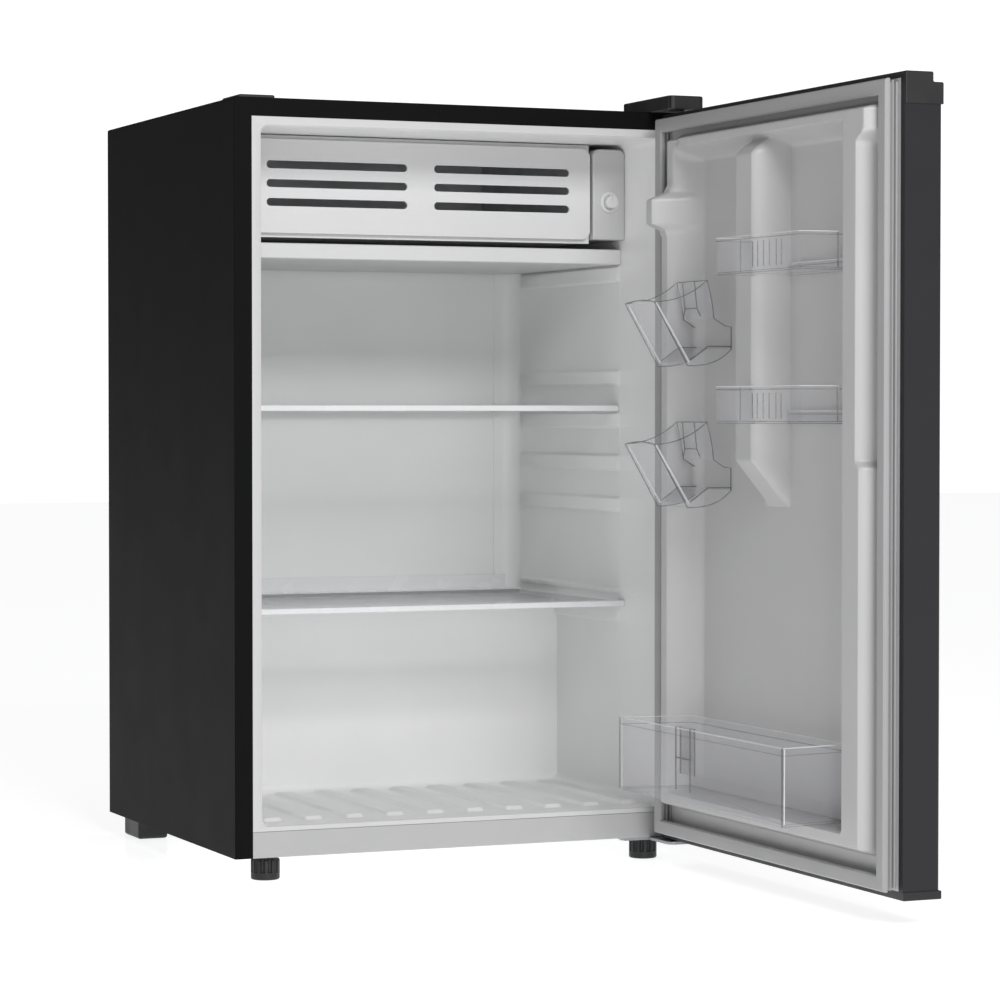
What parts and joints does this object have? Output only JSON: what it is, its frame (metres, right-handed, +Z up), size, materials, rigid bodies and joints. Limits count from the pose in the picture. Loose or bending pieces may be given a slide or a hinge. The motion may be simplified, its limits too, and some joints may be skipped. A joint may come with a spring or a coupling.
{
  "type": "mini fridge",
  "caption": "Compact under-counter refrigerator with a reversible side-hinged door, chiller flap, glass shelves, drip tray and clear door bins.",
  "frame": {"origin": "on the floor, at the middle of the footprint that the cabinet and the door standing open at 90 degrees cover", "axes": "+Z up, -Y out of the cabinet's front, +X to the right, the side the door is hinged on"},
  "size_m": [0.5185, 0.982, 0.819],
  "materials": {
    "black_paint": "satin",
    "door_paint": "satin",
    "white_liner": "gloss",
    "white_plastic": "satin",
    "foam": "matt",
    "galvanised": "satin",
    "steel_pin": "ground",
    "zinc_screw": "plated",
    "black_plastic": "fine texture",
    "gasket_vinyl": "satin",
    "clear_plastic": "gloss",
    "shelf_glass": "polished",
    "shelf_trim": "gloss",
    "aluminium": "satin",
    "grey_plastic": "satin",
    "compressor_paint": "satin",
    "black_rubber": "matt",
    "copper": "bright"
  },
  "bodies": {
    "cabinet": {"outer_shell": "black_paint", "inner_liner": "white_liner", "insulation_foam": "foam", "back_panel": "galvanised", "base_plate": "galvanised", "kick_plate": "white_plastic", "corner_cap": "black_plastic", "top_hinge_plate": "galvanised", "top_hinge_pin": "steel_pin", "top_hinge_screws": "zinc_screw", "hinge_cover": "black_plastic", "bottom_hinge_bracket": "galvanised", "bottom_hinge_pin": "steel_pin", "bottom_hinge_screws": "zinc_screw", "foot_nuts": "galvanised", "left_rear_foot": "black_plastic", "right_rear_foot": "black_plastic", "compressor_tray": "galvanised", "compressor": "compressor_paint", "compressor_grommets": "black_rubber", "compressor_bolts": "zinc_screw", "relay_box": "black_plastic", "drain_pan": "grey_plastic", "filter_dryer": "copper", "suction_pipe": "copper", "discharge_pipe": "copper", "power_inlet": "black_plastic", "chiller_frame": "white_plastic", "evaporator": "aluminium", "evaporator_spacers": "grey_plastic", "thermostat_housing": "white_plastic", "thermostat_ring": "white_plastic", "thermostat_body": "black_plastic"},
    "door": {"door_skin": "door_paint", "door_top_cap": "black_plastic", "door_bottom_cap": "black_plastic", "door_foam": "foam", "door_liner": "white_liner", "door_gasket": "gasket_vinyl", "door_bushes": "grey_plastic"},
    "chiller_flap": {"chiller_flap": "white_plastic"},
    "thermostat_knob": {"thermostat_knob": "white_plastic", "thermostat_shaft": "steel_pin"},
    "drip_tray": {"drip_tray": "white_plastic"},
    "upper_shelf": {"upper_shelf_glass": "shelf_glass", "upper_shelf_front_trim": "shelf_trim", "upper_shelf_rear_trim": "shelf_trim"},
    "lower_shelf": {"lower_shelf_glass": "shelf_glass", "lower_shelf_front_trim": "shelf_trim", "lower_shelf_rear_trim": "shelf_trim"},
    "upper_bin": {"upper_bin": "clear_plastic"},
    "lower_bin": {"lower_bin": "clear_plastic"},
    "bottom_bin": {"bottom_bin": "clear_plastic"},
    "upper_can_holder": {"upper_can_holder": "clear_plastic"},
    "lower_can_holder": {"lower_can_holder": "clear_plastic"},
    "left_foot": {"left_front_foot": "black_plastic", "left_foot_stud": "steel_pin"},
    "right_foot": {"right_front_foot": "black_plastic", "right_foot_stud": "steel_pin"}
  },
  "joints": [
    {"name": "door_hinge", "type": "hinge", "parent": "cabinet", "child": "door", "pos_m": [0.23875, 0.00575, 0], "axis": [0, 0, 1], "range_deg": [-90, 40]},
    {"name": "chiller_flap_hinge", "type": "hinge", "parent": "cabinet", "child": "chiller_flap", "pos_m": [-0.2207, 0.1407, 0], "axis": [0, 0, -1], "range_deg": [0, 90]},
    {"name": "thermostat_turn", "type": "hinge", "parent": "cabinet", "child": "thermostat_knob", "pos_m": [0.20815, 0.0405, 0.7136], "axis": [0, -1, 0], "range_deg": [-150, 150]},
    {"name": "drip_tray_slide", "type": "slide", "parent": "cabinet", "child": "drip_tray", "axis": [0, -1, 0], "range_m": [0, 0.11]},
    {"name": "upper_shelf_slide", "type": "slide", "parent": "cabinet", "child": "upper_shelf", "axis": [0, -1, 0], "range_m": [0, 0.11]},
    {"name": "lower_shelf_slide", "type": "slide", "parent": "cabinet", "child": "lower_shelf", "axis": [0, -1, 0], "range_m": [0, 0.1]},
    {"name": "upper_bin_lift", "type": "slide", "parent": "door", "child": "upper_bin", "axis": [0, 0, 1], "range_m": [0, 0.03]},
    {"name": "lower_bin_lift", "type": "slide", "parent": "door", "child": "lower_bin", "axis": [0, 0, 1], "range_m": [0, 0.03]},
    {"name": "bottom_bin_lift", "type": "slide", "parent": "door", "child": "bottom_bin", "axis": [0, 0, 1], "range_m": [0, 0.03]},
    {"name": "upper_can_holder_lift", "type": "slide", "parent": "door", "child": "upper_can_holder", "axis": [0, 0, 1], "range_m": [0, 0.03]},
    {"name": "lower_can_holder_lift", "type": "slide", "parent": "door", "child": "lower_can_holder", "axis": [0, 0, 1], "range_m": [0, 0.03]},
    {"name": "left_foot_screw", "type": "hinge", "parent": "cabinet", "child": "left_foot", "pos_m": [-0.2165, 0.0655, 0], "axis": [0, 0, 1], "range_deg": [-360, 360]},
    {"name": "right_foot_screw", "type": "hinge", "parent": "cabinet", "child": "right_foot", "pos_m": [0.2165, 0.0655, 0], "axis": [0, 0, 1], "range_deg": [-360, 360]}
  ]
}
